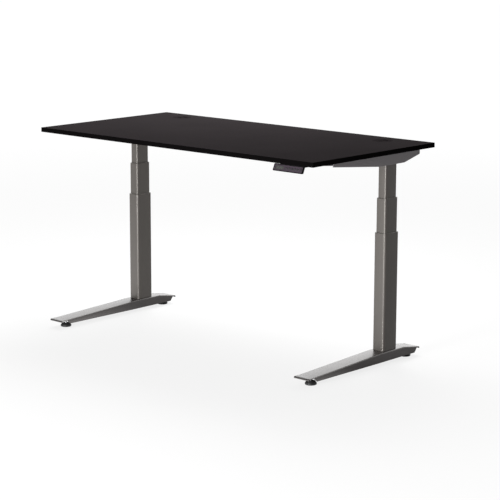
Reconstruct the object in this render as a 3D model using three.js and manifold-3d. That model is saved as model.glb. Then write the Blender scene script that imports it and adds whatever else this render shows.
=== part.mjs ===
// Electric standing desk: a laminate desktop on a steel frame with two
// three-stage telescopic columns, one motor in the head of each column.
// Millimetres, +X along the width, +Y towards the back, +Z up. The origin is
// on the floor under the centre of the desktop. The desk is drawn part raised.
import * as THREE from 'three';
import { mergeVertices } from 'three/addons/utils/BufferGeometryUtils.js';
import Module from 'manifold-3d';

const wasm = await Module();
wasm.setup();

// ---------------------------------------------------------------- sizes
const GAP = 0.3; // clearance between pieces that touch

const TOP = { width: 1524, depth: 762, thickness: 19, height: 878 };
const BAND_THICKNESS = 1.7;
const UNDERSIDE = TOP.height - TOP.thickness;
const GROMMET = { x: 569, y: 285, hole: 40.3, sleeve: 40, bore: 27, seat: 29.3, lid: 28.8 };
const LID_NOTCH = { width: 24, depth: 14 };

const LEG = { x: 703, y: 149 };
const TUBE_WALL = 2;
const OUTER_TUBE = { width: 58, depth: 88, radius: 10, bottom: 54.3, top: 536 };
const MIDDLE_TUBE = { width: 49, depth: 79, radius: 8, bottom: 200, top: 676 };
const INNER_TUBE = { width: 40, depth: 70, radius: 6, bottom: 346, top: 820 };
const GUIDE = { clearance: 0.25, thickness: 2, length: 60 };

const BASE_BLOCK_HEIGHT = 12;
const NUT_POST = { outer: 16, inner: 13, top: 530 };
const HOLLOW_SCREW = { outer: 12, inner: 8.5, bottom: 210, top: 670 };
const DRIVE_SCREW = { radius: 7, bottom: 340 };

const FOOT = { width: 76, wall: 3, lip: 7, front: -369, rear: 334 };
const FOOT_CREST = { front: 80, rear: 230, height: 54, tip: 37 };
const FOOT_WALL = { frontTop: -342, frontBottom: -319, rearBottom: 302, rearTop: 320 };
const FOOT_UNDERSIDE = { front: 19, column: 16, levelFrom: 60 };
const FOOT_CORNER_RADIUS = 6;
const GLIDE_OFFSETS = { front: -312, rear: 286 };
const GLIDE = { pad: 23.5, foot: 20.5, shoulder: 17, height: 16, socket: 4.5, socketFloor: 6 };
const STUD = { radius: 4, top: 30 };
const WELD_NUT = { radius: 9, bore: 4.6, bottom: 24.5 };

const BRACKET = { width: 60, wall: 3, front: -226, rear: 320 };
const BRACKET_DROP = { front: 19, column: 48, rear: 24, crestFront: 60, crestRear: 222 };
const HEAD_PLATE = { width: 53.2, depth: 70, thickness: 5, bore: 9 };
const GEARBOX = { width: 50, depth: 70, radius: 4 };
const MOTOR = { radius: 18, length: 105, drop: 22 };
const MOTOR_CABLE = { radius: 3, y: -14, hole: 8 };

const RAIL = { height: 36, depth: 18, wall: 2, drop: 3, front: 97, rear: 183 };
const CONTROL_BOX = { width: 260, front: -60, rear: 40, drop: 32, lid: 3, wall: 2.4, ear: 15 };
const BOARD = { width: 230, front: -48, rear: 12, drop: 26, thickness: 1.6 };
const INLET = { x: -80, drop: 18, width: 27.4, height: 19.4, depth: 20, flange: 2.3, cavity: 16 };

const HANDSET = { x: 645, width: 147, face: 29.5, rim: 8, front: -381, drop: 27.4, wall: 2.4 };
const HANDSET_BODY = {
  width: 100, start: 7, hollowStart: 4.8, back: -310, level: -349, frontRise: 3, drop: 11,
};
const HANDSET_EAR = { reach: 18, depth: 24, y: -330, thickness: 3 };
const HANDSET_TILT = THREE.MathUtils.degToRad(24);
const FACE_PLATE = { width: 139, height: 22, thickness: 3, corner: 3 };
const WINDOW = { x: -43, width: 42, height: 14, sink: 0.4, thickness: 2.2 };
const BUTTON = { cap: 4.2, flange: 5.2, proud: 1, length: 5.1, pitch: 14.4, first: -10 };
const BUTTON_NAMES = ['down', 'up', 'one', 'two', 'three', 'memory'];
const HANDSET_CABLE_RADIUS = 2;

// ------------------------------------------------------------- materials
const paint = (color, roughness, metalness) => () =>
  new THREE.MeshStandardMaterial({ color, roughness, metalness });
const blackLaminate = paint(0x2b2828, 0.55, 0);
const blackEdge = paint(0x0b0a0a, 0.5, 0);
const greySteel = paint(0x6e6b68, 0.45, 0.6);
const paleSteel = paint(0x8f8d8a, 0.45, 0.6);
const brightSteel = paint(0xb4b6b8, 0.3, 0.9);
const blackPlastic = paint(0x161616, 0.6, 0);
const nylon = paint(0xd8d6cf, 0.6, 0);
const blackRubber = paint(0x0f0f0f, 0.85, 0);
const greenBoard = paint(0x1d4a2c, 0.5, 0);
const glossPanel = paint(0x37323a, 0.2, 0);
const smokedGlass = paint(0x202328, 0.1, 0);

// ------------------------------------------------------ booleans by manifold
function toSolid(geometry) {
  const bare = geometry.clone();
  bare.deleteAttribute('normal');
  bare.deleteAttribute('uv');
  const merged = mergeVertices(bare, 1e-4);
  return new wasm.Manifold(new wasm.Mesh({
    numProp: 3,
    vertProperties: new Float32Array(merged.attributes.position.array),
    triVerts: new Uint32Array(merged.index.array),
  }));
}

function fromSolid(solid) {
  const mesh = solid.getMesh();
  const geometry = new THREE.BufferGeometry();
  geometry.setAttribute('position', new THREE.BufferAttribute(mesh.vertProperties, 3));
  geometry.setIndex(new THREE.BufferAttribute(mesh.triVerts, 1));
  geometry.computeVertexNormals();
  return geometry;
}

const joinShapes = (...parts) => fromSolid(parts.map(toSolid).reduce((a, b) => a.add(b)));
const cutShapes = (body, ...tools) =>
  fromSolid(tools.map(toSolid).reduce((rest, tool) => rest.subtract(tool), toSolid(body)));
const keepCommon = (a, b) => fromSolid(toSolid(a).intersect(toSolid(b)));

// ------------------------------------------------------------ basic shapes
function rectangle(width, height, radius = 0) {
  const shape = new THREE.Shape();
  const x = width / 2;
  const y = height / 2;
  if (radius === 0) {
    shape.setFromPoints([[-x, -y], [x, -y], [x, y], [-x, y]].map((p) => new THREE.Vector2(...p)));
    return shape;
  }
  shape.moveTo(-x + radius, -y);
  shape.absarc(x - radius, -y + radius, radius, -Math.PI / 2, 0);
  shape.absarc(x - radius, y - radius, radius, 0, Math.PI / 2);
  shape.absarc(-x + radius, y - radius, radius, Math.PI / 2, Math.PI);
  shape.absarc(-x + radius, -y + radius, radius, Math.PI, Math.PI * 1.5);
  return shape;
}

function circlePath(x, y, radius) {
  const path = new THREE.Path();
  path.absarc(x, y, radius, 0, Math.PI * 2);
  return path;
}

// A flat outline raised from one height to another. An arc gets twice as many
// straight sides as its curve segments.
function prism(shape, bottom, top, curveSegments = 2) {
  const depth = top - bottom;
  const options = { depth, curveSegments, bevelEnabled: false };
  return new THREE.ExtrudeGeometry(shape, options).translate(0, 0, bottom);
}

// An outline of [y, z] points carried along X.
const sideways = new THREE.Matrix4().makeBasis(
  new THREE.Vector3(0, 1, 0),
  new THREE.Vector3(0, 0, 1),
  new THREE.Vector3(1, 0, 0),
);
function extrudeAlongX(points, width) {
  const shape = new THREE.Shape(points.map(([y, z]) => new THREE.Vector2(y, z)));
  const options = { depth: width, bevelEnabled: false };
  return new THREE.ExtrudeGeometry(shape, options).translate(0, 0, -width / 2).applyMatrix4(sideways);
}

// A profile of [radius, z] points turned about the Z axis.
function turned(points, segments = 16) {
  const profile = points.map(([r, z]) => new THREE.Vector2(r, z));
  return new THREE.LatheGeometry(profile, segments).rotateX(Math.PI / 2);
}

function rod(radius, bottom, top, segments = 16) {
  const height = top - bottom;
  return new THREE.CylinderGeometry(radius, radius, height, segments)
    .rotateX(Math.PI / 2)
    .translate(0, 0, bottom + height / 2);
}

function pipe(outer, inner, bottom, top) {
  return turned([[inner, bottom], [outer, bottom], [outer, top], [inner, top], [inner, bottom]]);
}

function block(x, y, z, width, depth, height) {
  return new THREE.BoxGeometry(width, depth, height).translate(x, y, z);
}

function cable(points, radius, steps) {
  const curve = new THREE.CatmullRomCurve3(points.map((p) => new THREE.Vector3(...p)));
  const section = new THREE.Shape();
  section.absarc(0, 0, radius, 0, Math.PI * 2);
  return new THREE.ExtrudeGeometry(section, { extrudePath: curve, steps, curveSegments: 4 });
}

// ------------------------------------------------------------- assembling
const desk = new THREE.Group();

function add(name, geometry, material, x = 0, y = 0, z = 0) {
  const mesh = new THREE.Mesh(geometry, material());
  mesh.name = name;
  mesh.position.set(x, y, z);
  desk.add(mesh);
}

const SIDES = [['left', -1], ['right', 1]];

// ---------------------------------------------------------------- desktop
function boardGeometry() {
  const margin = 2 * (BAND_THICKNESS + GAP);
  const outline = rectangle(TOP.width - margin, TOP.depth - margin);
  for (const [, side] of SIDES) {
    outline.holes.push(circlePath(side * GROMMET.x, GROMMET.y, GROMMET.hole));
  }
  return prism(outline, UNDERSIDE, TOP.height, 16);
}

function edgeBandGeometry() {
  const outline = rectangle(TOP.width, TOP.depth);
  outline.holes.push(rectangle(TOP.width - 2 * BAND_THICKNESS, TOP.depth - 2 * BAND_THICKNESS));
  return prism(outline, UNDERSIDE, TOP.height);
}

// A sleeve pressed into the board flush with its top, with a seat for the lid.
function grommetLinerGeometry() {
  const seat = TOP.height - 3.5;
  const bottom = UNDERSIDE + 2;
  return turned([
    [GROMMET.bore, bottom], [GROMMET.sleeve, bottom], [GROMMET.sleeve, TOP.height],
    [GROMMET.seat, TOP.height], [GROMMET.seat, seat], [GROMMET.bore, seat], [GROMMET.bore, bottom],
  ], 24);
}

// A round lid with a notch at its back for the cables.
function grommetLidGeometry() {
  const half = LID_NOTCH.width / 2;
  const rim = Math.sqrt(GROMMET.lid ** 2 - half ** 2);
  const turn = Math.atan2(rim, half);
  const outline = new THREE.Shape();
  outline.moveTo(half, GROMMET.lid - LID_NOTCH.depth);
  outline.lineTo(-half, GROMMET.lid - LID_NOTCH.depth);
  outline.lineTo(-half, rim);
  outline.absarc(0, 0, GROMMET.lid, Math.PI - turn, Math.PI * 2 + turn);
  outline.closePath();
  return prism(outline, TOP.height - 3.5 + GAP, TOP.height - 0.2, 14);
}

add('desktop', boardGeometry(), blackLaminate);
add('edge_band', edgeBandGeometry(), blackEdge);
for (const [sideName, side] of SIDES) {
  add(`grommet_liner_${sideName}`, grommetLinerGeometry(), blackPlastic, side * GROMMET.x, GROMMET.y);
  add(`grommet_lid_${sideName}`, grommetLidGeometry(), blackPlastic, side * GROMMET.x, GROMMET.y);
}

// ------------------------------------------------------------------- feet
// Height of the foot's top plate at a place along its length.
function footTop(y) {
  const { front, rear, height, tip } = FOOT_CREST;
  const frontSlope = (height - tip) / (front - FOOT.front);
  const rearSlope = (height - tip) / (FOOT.rear - rear);
  if (y < front) return height - (front - y) * frontSlope;
  return y > rear ? height - (y - rear) * rearSlope : height;
}

// The top line of the foot lowered by some depth, from one end to the other.
const footLine = (from, to, lowered) =>
  [from, FOOT_CREST.front, FOOT_CREST.rear, to].map((y) => [y, footTop(y) - lowered]);

function footShell() {
  const plateBottom = (y) => [y, footTop(y) - FOOT.wall];
  const lipFoot = (y) => [y, footTop(y) - FOOT.lip];
  const behindFrontLip = FOOT.front + FOOT.wall;
  const beforeRearLip = FOOT.rear - FOOT.wall;
  const outside = extrudeAlongX([
    ...footLine(FOOT.front, FOOT.rear, 0).reverse(),
    lipFoot(FOOT.front), lipFoot(behindFrontLip), plateBottom(behindFrontLip),
    plateBottom(FOOT_WALL.frontTop), [FOOT_WALL.frontBottom, FOOT_UNDERSIDE.front],
    [FOOT_UNDERSIDE.levelFrom, FOOT_UNDERSIDE.column], [FOOT_WALL.rearBottom, FOOT_UNDERSIDE.column],
    plateBottom(FOOT_WALL.rearTop), plateBottom(beforeRearLip), lipFoot(beforeRearLip), lipFoot(FOOT.rear),
  ], FOOT.width);
  const inside = extrudeAlongX([
    ...footLine(behindFrontLip, beforeRearLip, FOOT.wall).reverse(),
    [behindFrontLip, 0], [beforeRearLip, 0],
  ], FOOT.width - 2 * FOOT.wall);
  const length = FOOT.rear - FOOT.front;
  const plan = prism(rectangle(FOOT.width, length, FOOT_CORNER_RADIUS), 0, FOOT_CREST.height + 1)
    .translate(0, (FOOT.front + FOOT.rear) / 2, 0);
  return keepCommon(cutShapes(outside, inside), plan);
}

// The bent steel channel with a nut welded inside over each levelling glide.
function footGeometry() {
  const places = Object.values(GLIDE_OFFSETS);
  const nuts = places.map((y) =>
    rod(WELD_NUT.radius, WELD_NUT.bottom, footTop(y) - FOOT.wall / 2, 12).translate(0, y, 0));
  const bores = places.map((y) =>
    rod(WELD_NUT.bore, 0, footTop(y) - FOOT.wall - GAP, 12).translate(0, y, 0));
  return cutShapes(joinShapes(footShell(), ...nuts), ...bores);
}

function glidePadGeometry() {
  const { pad, foot, shoulder, height, socket, socketFloor } = GLIDE;
  return turned([
    [0, 0], [foot, 0], [pad, 3], [pad, 9], [shoulder, height],
    [socket, height], [socket, socketFloor], [0, socketFloor],
  ], 24);
}

for (const [sideName, side] of SIDES) {
  add(`foot_${sideName}`, footGeometry(), paleSteel, side * LEG.x);
  for (const [end, y] of Object.entries(GLIDE_OFFSETS)) {
    const stud = rod(STUD.radius, GLIDE.socketFloor + GAP, STUD.top, 12);
    add(`glide_pad_${end}_${sideName}`, glidePadGeometry(), blackRubber, side * LEG.x, y);
    add(`glide_stud_${end}_${sideName}`, stud, brightSteel, side * LEG.x, y);
  }
}

// ---------------------------------------------------------------- columns
const grown = ({ width, depth, radius }, by) =>
  rectangle(width + 2 * by, depth + 2 * by, radius + by);

function ring(section, outerBy, innerBy, bottom, top) {
  const outline = grown(section, outerBy);
  outline.holes.push(grown(section, innerBy));
  return prism(outline, bottom, top);
}

const tubeGeometry = (tube) => ring(tube, 0, -TUBE_WALL, tube.bottom, tube.top);

// A thin slide ring that sits in the mouth of one tube around the next.
function guideGeometry(inner, outer) {
  const near = GUIDE.clearance;
  return ring(inner, near + GUIDE.thickness, near, outer.top - GUIDE.length, outer.top - GUIDE.clearance);
}

function headPlateGeometry() {
  const outline = rectangle(HEAD_PLATE.width, HEAD_PLATE.depth, 3);
  outline.holes.push(circlePath(0, 0, HEAD_PLATE.bore));
  const bottom = INNER_TUBE.top + GAP;
  return prism(outline, bottom, bottom + HEAD_PLATE.thickness, 6);
}

const headTop = INNER_TUBE.top + GAP + HEAD_PLATE.thickness;
const blockTop = OUTER_TUBE.bottom + BASE_BLOCK_HEIGHT;

function addColumn(sideName, side) {
  const place = (name, geometry, material) =>
    add(`${name}_${sideName}`, geometry, material, side * LEG.x, LEG.y);
  const blockSection = grown(OUTER_TUBE, -TUBE_WALL - GAP);
  const { outer, inner, bottom, top } = HOLLOW_SCREW;
  place('outer_tube', tubeGeometry(OUTER_TUBE), greySteel);
  place('middle_tube', tubeGeometry(MIDDLE_TUBE), greySteel);
  place('inner_tube', tubeGeometry(INNER_TUBE), greySteel);
  place('outer_guide', guideGeometry(MIDDLE_TUBE, OUTER_TUBE), nylon);
  place('middle_guide', guideGeometry(INNER_TUBE, MIDDLE_TUBE), nylon);
  place('base_block', prism(blockSection, OUTER_TUBE.bottom, blockTop), brightSteel);
  place('nut_post', pipe(NUT_POST.outer, NUT_POST.inner, blockTop + GAP, NUT_POST.top), brightSteel);
  place('hollow_screw', pipe(outer, inner, bottom, top), brightSteel);
  place('drive_screw', rod(DRIVE_SCREW.radius, DRIVE_SCREW.bottom, headTop), brightSteel);
  place('head_plate', headPlateGeometry(), greySteel);
}

SIDES.forEach(([sideName, side]) => addColumn(sideName, side));

// -------------------------------------------------- heads under the desktop
// An inverted channel along the column head, deepest over the column.
function bracketGeometry(side) {
  const { front, rear, width, wall } = BRACKET;
  const drop = BRACKET_DROP;
  const top = UNDERSIDE - GAP;
  const outside = extrudeAlongX([
    [front, top], [front, UNDERSIDE - drop.front], [drop.crestFront, UNDERSIDE - drop.column],
    [drop.crestRear, UNDERSIDE - drop.column], [rear, UNDERSIDE - drop.rear], [rear, top],
  ], width);
  const length = rear - front;
  const hollowHeight = drop.column * 2;
  const hollowMiddle = top - wall - hollowHeight / 2;
  const hollow = block(0, (front + rear) / 2, hollowMiddle, width - 2 * wall, length + 2, hollowHeight);
  const innerWall = -side * (width / 2);
  const cableHole = new THREE.CylinderGeometry(MOTOR_CABLE.hole, MOTOR_CABLE.hole, width / 2, 12)
    .rotateZ(Math.PI / 2)
    .translate(innerWall, MOTOR_CABLE.y, motorHeight);
  return cutShapes(outside, hollow, cableHole);
}

const gearboxBottom = headTop + GAP;
const gearboxTop = UNDERSIDE - 2 * GAP - BRACKET.wall;
const motorHeight = UNDERSIDE - MOTOR.drop;
const motorRear = LEG.y - GEARBOX.depth / 2 - GAP;

function motorGeometry() {
  return new THREE.CylinderGeometry(MOTOR.radius, MOTOR.radius, MOTOR.length, 24)
    .translate(0, motorRear - MOTOR.length / 2, motorHeight);
}

// From the motor's end round through the bracket's wall and along to the control box.
function motorCableGeometry(side) {
  const { y } = MOTOR_CABLE;
  const z = motorHeight;
  const start = motorRear - MOTOR.length - 2 * GAP;
  const end = CONTROL_BOX.width / 2 + GAP;
  const route = [
    [LEG.x, start, z], [LEG.x, start - 6, z], [LEG.x - 2, start - 13, z], [LEG.x - 10, y + 1, z],
    [LEG.x - 22, y, z], [640, y, z], [520, y, z - 3], [400, y, z], [280, y, z - 3], [170, y, z], [end, y, z],
  ];
  return cable(route.map(([x, ...rest]) => [side * x, ...rest]), MOTOR_CABLE.radius, 32);
}

for (const [sideName, side] of SIDES) {
  const gearbox = prism(rectangle(GEARBOX.width, GEARBOX.depth, GEARBOX.radius),
    gearboxBottom, gearboxTop);
  add(`side_bracket_${sideName}`, bracketGeometry(side), greySteel, side * LEG.x);
  add(`gearbox_${sideName}`, gearbox, blackPlastic, side * LEG.x, LEG.y);
  add(`motor_${sideName}`, motorGeometry(), brightSteel, side * LEG.x);
  add(`motor_cable_${sideName}`, motorCableGeometry(side), blackRubber);
}

// A steel channel from one side bracket to the other; its open side faces its partner.
function railGeometry(facing) {
  const { height, depth, wall } = RAIL;
  const top = UNDERSIDE - RAIL.drop;
  const length = 2 * (LEG.x - BRACKET.width / 2 - GAP);
  const reach = facing * (depth / 2);
  const web = -reach + facing * wall;
  const outline = [
    [-reach, top - height], [reach, top - height], [reach, top - height + wall],
    [web, top - height + wall], [web, top - wall], [reach, top - wall], [reach, top], [-reach, top],
  ];
  return extrudeAlongX(outline, length);
}

add('rail_front', railGeometry(1), greySteel, 0, RAIL.front + RAIL.depth / 2);
add('rail_rear', railGeometry(-1), greySteel, 0, RAIL.rear + RAIL.depth / 2);

// ------------------------------------------------------------- control box
const boxLidBottom = UNDERSIDE - GAP - CONTROL_BOX.lid;
const boxMiddle = (CONTROL_BOX.front + CONTROL_BOX.rear) / 2;
const boxDepth = CONTROL_BOX.rear - CONTROL_BOX.front;
const inletHeight = UNDERSIDE - INLET.drop;

function controlBoxGeometry() {
  const { width, wall, rear } = CONTROL_BOX;
  const bottom = UNDERSIDE - CONTROL_BOX.drop;
  const top = boxLidBottom - GAP;
  const outside = prism(rectangle(width, boxDepth, 6), bottom, top);
  const inside = prism(rectangle(width - 2 * wall, boxDepth - 2 * wall, 4), bottom + wall, top + 1);
  const shell = cutShapes(outside, inside);
  const socketHole = block(INLET.x, rear, inletHeight, INLET.width + 2 * GAP, 20, INLET.height + 2 * GAP)
    .translate(0, -boxMiddle, 0);
  return cutShapes(shell, socketHole);
}

// The socket that takes the mains lead: a flange outside the wall, a hollow body inside.
function powerInletGeometry() {
  const { width, height, depth, flange, cavity, x } = INLET;
  const z = inletHeight;
  const face = CONTROL_BOX.rear + GAP;
  const plate = block(x, face + flange / 2, z, width + 5, flange, height + 5);
  const body = block(x, face - depth / 2 + 1, z, width, depth + 2, height);
  const hollow = block(x, face + flange - cavity / 2 + 1, z, width - 4, cavity + 2, height - 4);
  return cutShapes(joinShapes(plate, body), hollow);
}

const boxLidWidth = CONTROL_BOX.width + 2 * CONTROL_BOX.ear;
const boardDepth = BOARD.rear - BOARD.front;
add('control_box', controlBoxGeometry(), blackPlastic, 0, boxMiddle);
add('control_box_lid', prism(rectangle(boxLidWidth, boxDepth, 8), boxLidBottom, UNDERSIDE - GAP),
  blackPlastic, 0, boxMiddle);
add('circuit_board', block(0, 0, UNDERSIDE - BOARD.drop, BOARD.width, boardDepth, BOARD.thickness),
  greenBoard, 0, BOARD.front + boardDepth / 2);
add('power_inlet', powerInletGeometry(), blackPlastic);

// ----------------------------------------------------------------- handset
// The face's own frame: x along the desk, -y out of the face, z up the face.
const faceFoot = HANDSET.front - HANDSET.face * Math.sin(HANDSET_TILT);
const handsetBottom = UNDERSIDE - HANDSET.drop;
const handsetTop = UNDERSIDE - GAP;
const faceFrame = new THREE.Matrix4()
  .makeTranslation(HANDSET.x, faceFoot, handsetBottom)
  .multiply(new THREE.Matrix4().makeRotationX(-HANDSET_TILT));
const onFace = (geometry) => geometry.applyMatrix4(faceFrame);
const faceMiddle = HANDSET.face / 2;

// A rounded panel lying in the face between two depths behind it.
function facePanel(x, width, height, radius, near, far, holes = []) {
  const outline = rectangle(width, height, radius);
  outline.holes.push(...holes);
  return prism(outline, -far, -near, 6).rotateX(Math.PI / 2).translate(x, 0, faceMiddle);
}

// The deep rim that frames the face, full width, with its underside level.
function handsetRim() {
  const { rim, width, face, front } = HANDSET;
  const wedge = extrudeAlongX([
    [front + rim, handsetTop], [front, handsetTop],
    [faceFoot, handsetBottom], [faceFoot + rim, handsetBottom],
  ], width).translate(HANDSET.x, 0, 0);
  return keepCommon(wedge, onFace(facePanel(0, width, face, 4, -1, 3 * rim)));
}

// The narrower body behind the rim, thin at the back, drawn in by some wall all round.
function handsetBody(wall) {
  const { width, back, level, frontRise, drop } = HANDSET_BODY;
  const start = wall === 0 ? HANDSET_BODY.start : HANDSET_BODY.hollowStart;
  return extrudeAlongX([
    [back - wall, handsetTop - wall], [HANDSET.front + start, handsetTop - wall],
    [faceFoot + start, handsetBottom + frontRise + wall],
    [level, UNDERSIDE - drop + wall], [back - wall, UNDERSIDE - drop + wall],
  ], width - 2 * wall).translate(HANDSET.x, 0, 0);
}

function handsetCaseGeometry() {
  const { reach, depth, thickness, y } = HANDSET_EAR;
  const ears = SIDES.map(([, side]) => block(
    HANDSET.x + side * (HANDSET_BODY.width + reach) / 2, y, handsetTop - thickness / 2,
    reach + 2, depth, thickness,
  ));
  const { width, height, thickness: plate, corner } = FACE_PLATE;
  const seat = facePanel(0, width + 2 * GAP, height + 2 * GAP, corner + GAP, -2, plate + GAP);
  const well = facePanel(0, width - 2, height - 4, 2, 0, plate + 2);
  const body = joinShapes(handsetRim(), handsetBody(0), ...ears);
  return cutShapes(body, handsetBody(HANDSET.wall), onFace(seat), onFace(well));
}

const buttonX = (index) => BUTTON.first + index * BUTTON.pitch;

function facePlateGeometry() {
  const windowHole = new THREE.Path(rectangle(WINDOW.width, WINDOW.height, 2)
    .getPoints(4)
    .map((p) => p.add(new THREE.Vector2(WINDOW.x, 0))));
  const buttonHoles = BUTTON_NAMES.map((_, i) => circlePath(buttonX(i), 0, BUTTON.cap + 0.4));
  return onFace(facePanel(0, FACE_PLATE.width, FACE_PLATE.height, FACE_PLATE.corner, 0, FACE_PLATE.thickness,
    [windowHole, ...buttonHoles]));
}

function buttonGeometry(x) {
  const { cap, flange, proud, length } = BUTTON;
  const back = FACE_PLATE.thickness + GAP;
  const profile = [
    [0, -proud], [cap - 0.5, -proud], [cap, 0.5 - proud], [cap, back],
    [flange, back], [flange, length - proud], [0, length - proud],
  ].map(([r, depth]) => [r, -depth]).reverse();
  return onFace(turned(profile).rotateX(Math.PI / 2).translate(x, 0, faceMiddle));
}

function displayWindowGeometry() {
  const { x, width, height, sink, thickness } = WINDOW;
  return onFace(facePanel(x, width - 2 * GAP, height - 2 * GAP, 1.7, sink, sink + thickness));
}

// Along the underside from the back of the handset to the front of the control box.
function handsetCableGeometry() {
  const z = UNDERSIDE - 8;
  const start = HANDSET_BODY.back + GAP;
  const end = CONTROL_BOX.front - GAP;
  return cable([
    [HANDSET.x - 40, start, z], [HANDSET.x - 40, start + 15, z], [HANDSET.x - 48, start + 35, z + 2],
    [HANDSET.x - 80, start + 55, z + 3], [480, -230, z + 1], [360, -195, z + 3], [240, -160, z + 1],
    [150, -130, z + 3], [104, -108, z + 2], [90, -82, z], [90, end, z - 2],
  ], HANDSET_CABLE_RADIUS, 44);
}

add('handset_case', handsetCaseGeometry(), blackPlastic);
add('handset_face', facePlateGeometry(), glossPanel);
add('display_window', displayWindowGeometry(), smokedGlass);
BUTTON_NAMES.forEach((name, index) => {
  add(`button_${name}`, buttonGeometry(buttonX(index)), blackPlastic);
});
add('handset_cable', handsetCableGeometry(), blackRubber);

export default desk;
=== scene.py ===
import math
import bmesh
import bpy
from mathutils import Matrix, Vector


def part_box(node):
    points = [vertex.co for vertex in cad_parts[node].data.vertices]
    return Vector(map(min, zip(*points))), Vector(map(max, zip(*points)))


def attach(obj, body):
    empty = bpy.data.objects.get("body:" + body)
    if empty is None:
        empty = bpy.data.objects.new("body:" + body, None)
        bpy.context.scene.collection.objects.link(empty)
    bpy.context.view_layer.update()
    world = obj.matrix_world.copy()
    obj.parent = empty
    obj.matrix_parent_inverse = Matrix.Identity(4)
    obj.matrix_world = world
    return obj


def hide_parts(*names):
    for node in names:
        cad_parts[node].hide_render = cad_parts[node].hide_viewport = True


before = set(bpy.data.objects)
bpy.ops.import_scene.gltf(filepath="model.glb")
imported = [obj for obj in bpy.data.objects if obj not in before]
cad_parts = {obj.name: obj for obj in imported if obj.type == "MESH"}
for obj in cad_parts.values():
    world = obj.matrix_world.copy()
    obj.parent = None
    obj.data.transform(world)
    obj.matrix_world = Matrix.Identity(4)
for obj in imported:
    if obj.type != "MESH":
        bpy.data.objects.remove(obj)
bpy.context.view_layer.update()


# ------------------------------------------------------------------- feet
# Each foot is one piece of 3 mm sheet steel, cut and folded into a channel that is
# deepest under the column and ends in two thin lipped tips, then powder coated.
SIDES = (("left", -1), ("right", 1))
SHINE_DRIFT = 0.04


def stretched(tree, value, **limits):
    """A value moved from one range to another."""
    node = tree.nodes.new("ShaderNodeMapRange")
    for socket, limit in limits.items():
        node.inputs[socket.replace("_", " ")].default_value = limit
    tree.links.new(value, node.inputs["Value"])
    return node.outputs["Result"]


def surface(name, color, roughness, metallic, mottle, grain, **fixed):
    """A material that drifts slowly in tone and shine, with a fine relief on top.

    mottle is the drift's scale and strength, grain the relief's scale and depth.
    """
    material = bpy.data.materials.new(name)
    material.use_nodes = True
    tree = material.node_tree
    nodes, links = tree.nodes, tree.links
    shader = nodes["Principled BSDF"]
    place = nodes.new("ShaderNodeTexCoord")
    cloud = nodes.new("ShaderNodeTexNoise")
    cloud.inputs["Scale"].default_value = mottle[0]
    cloud.inputs["Detail"].default_value = 4
    links.new(place.outputs["Object"], cloud.inputs["Vector"])
    tone = nodes.new("ShaderNodeMix")
    tone.data_type = "RGBA"
    links.new(cloud.outputs["Fac"], tone.inputs["Factor"])
    ends = [socket for socket in tone.inputs if socket.type == "RGBA"]
    for socket, share in zip(ends, (1 - mottle[1], 1 + mottle[1])):
        socket.default_value = (*(channel * share for channel in color), 1)
    tinted = next(socket for socket in tone.outputs if socket.type == "RGBA")
    links.new(tinted, shader.inputs["Base Color"])
    shine = stretched(tree, cloud.outputs["Fac"], To_Min=roughness - SHINE_DRIFT,
                      To_Max=roughness + SHINE_DRIFT)
    links.new(shine, shader.inputs["Roughness"])
    fine = nodes.new("ShaderNodeTexNoise")
    fine.inputs["Scale"].default_value = grain[0]
    fine.inputs["Detail"].default_value = 2
    links.new(place.outputs["Object"], fine.inputs["Vector"])
    relief = nodes.new("ShaderNodeBump")
    relief.inputs["Distance"].default_value = grain[1]
    links.new(fine.outputs["Fac"], relief.inputs["Height"])
    links.new(relief.outputs["Normal"], shader.inputs["Normal"])
    shader.inputs["Metallic"].default_value = metallic
    for socket, value in fixed.items():
        shader.inputs[socket.replace("_", " ")].default_value = value
    return material


def add_flecks(material, scale, strength):
    """Flakes: each tiny cell of the surface is a little lighter or darker than the next."""
    tree = material.node_tree
    nodes, links = tree.nodes, tree.links
    shader = nodes["Principled BSDF"]
    painted = shader.inputs["Base Color"].links[0].from_socket
    place = next(node for node in nodes if node.type == "TEX_COORD")
    flakes = nodes.new("ShaderNodeTexVoronoi")
    flakes.inputs["Scale"].default_value = scale
    links.new(place.outputs["Object"], flakes.inputs["Vector"])
    glint = nodes.new("ShaderNodeHueSaturation")
    grey = nodes.new("ShaderNodeRGBToBW")
    links.new(flakes.outputs["Color"], grey.inputs["Color"])
    level = stretched(tree, grey.outputs["Val"], To_Min=1 - strength, To_Max=1 + strength)
    links.new(level, glint.inputs["Value"])
    links.new(painted, glint.inputs["Color"])
    links.new(glint.outputs["Color"], shader.inputs["Base Color"])
    return material


def powder_coat(name, color, roughness, metallic, coat, coat_roughness, drift=0.05):
    """Baked powder paint: a faint orange peel, fine metal flakes and a clear outer film."""
    paint = surface(name, color, roughness, metallic, (14, drift), (420, 0.00005),
                    Coat_Weight=coat, Coat_Roughness=coat_roughness)
    return add_flecks(paint, 2600, 0.12)


def add_piece(name, shape, material, body, slot, *nodes):
    """Turns a finished bmesh into a piece that rides on a body and stands for some nodes."""
    mesh = bpy.data.meshes.new(name)
    shape.to_mesh(mesh)
    shape.free()
    mesh.shade_smooth()
    mesh.materials.append(material)
    piece = bpy.data.objects.new(name, mesh)
    bpy.context.scene.collection.objects.link(piece)
    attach(piece, body)
    if nodes:
        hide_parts(*nodes)
    return piece


def thicken(piece, wall):
    """Sheet metal: the skin that was drawn is its outside, and the wall grows inwards."""
    solid = piece.modifiers.new("sheet", "SOLIDIFY")
    solid.thickness = wall
    solid.offset = -1
    solid.use_even_offset = True


def soften(piece, radius, segments=2):
    """Breaks every sharp edge, as deburring, paint or a mould's own radius does."""
    bevel = piece.modifiers.new("edges", "BEVEL")
    bevel.width = radius
    bevel.segments = segments
    bevel.limit_method = "ANGLE"
    bevel.angle_limit = math.radians(32)
    bevel.harden_normals = True


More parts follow.
